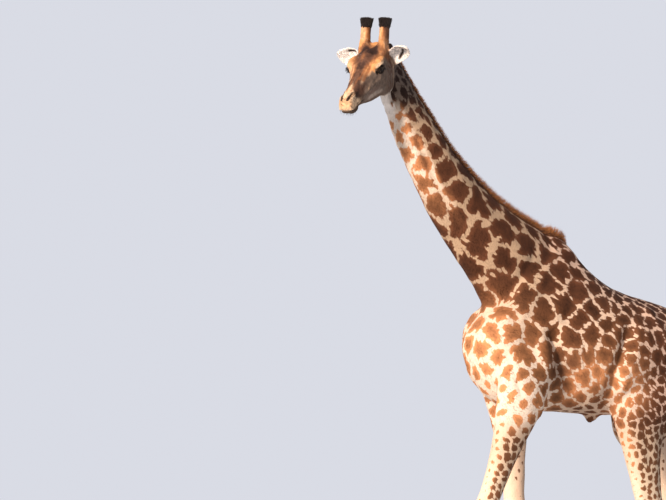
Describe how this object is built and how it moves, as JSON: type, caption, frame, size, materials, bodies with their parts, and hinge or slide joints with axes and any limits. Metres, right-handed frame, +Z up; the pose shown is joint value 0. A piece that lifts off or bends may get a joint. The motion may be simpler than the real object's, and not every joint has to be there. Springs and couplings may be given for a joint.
{
  "type": "life-size giraffe model",
  "caption": "Adult male giraffe in mid stride as a still, life-size museum model, head turned a little to its left, standing on the floor on its own hooves.",
  "frame": {"origin": "middle of the bounding box in plan, at floor level", "axes": "+Z up, the animal faces -Y and its left side is towards +X"},
  "size_m": [0.7282, 3.2028, 4.3123],
  "materials": {
    "hide": "short coat of brown blotches on cream",
    "dark_hair": "coarse black hair",
    "mane_hair": "short upright brown hair",
    "eye": "glossy",
    "hoof": "dull dark horn"
  },
  "bodies": {
    "root": {"trunk": "hide", "neck": "hide", "head": "hide", "tail": "hide", "foreleg_left": "hide", "foreleg_right": "hide", "hindleg_left": "hide", "hindleg_right": "hide", "ear_left": "hide", "ear_right": "hide", "ossicone_left": "hide", "ossicone_right": "hide", "ossicone_tuft_left": "dark_hair", "ossicone_tuft_right": "dark_hair", "tail_tuft": "dark_hair", "mane": "mane_hair", "eye_left": "eye", "eye_right": "eye", "hoof_front_left_outer": "hoof", "hoof_front_left_inner": "hoof", "hoof_front_right_outer": "hoof", "hoof_front_right_inner": "hoof", "hoof_hind_left_outer": "hoof", "hoof_hind_left_inner": "hoof", "hoof_hind_right_outer": "hoof", "hoof_hind_right_inner": "hoof"}
  },
  "joints": []
}
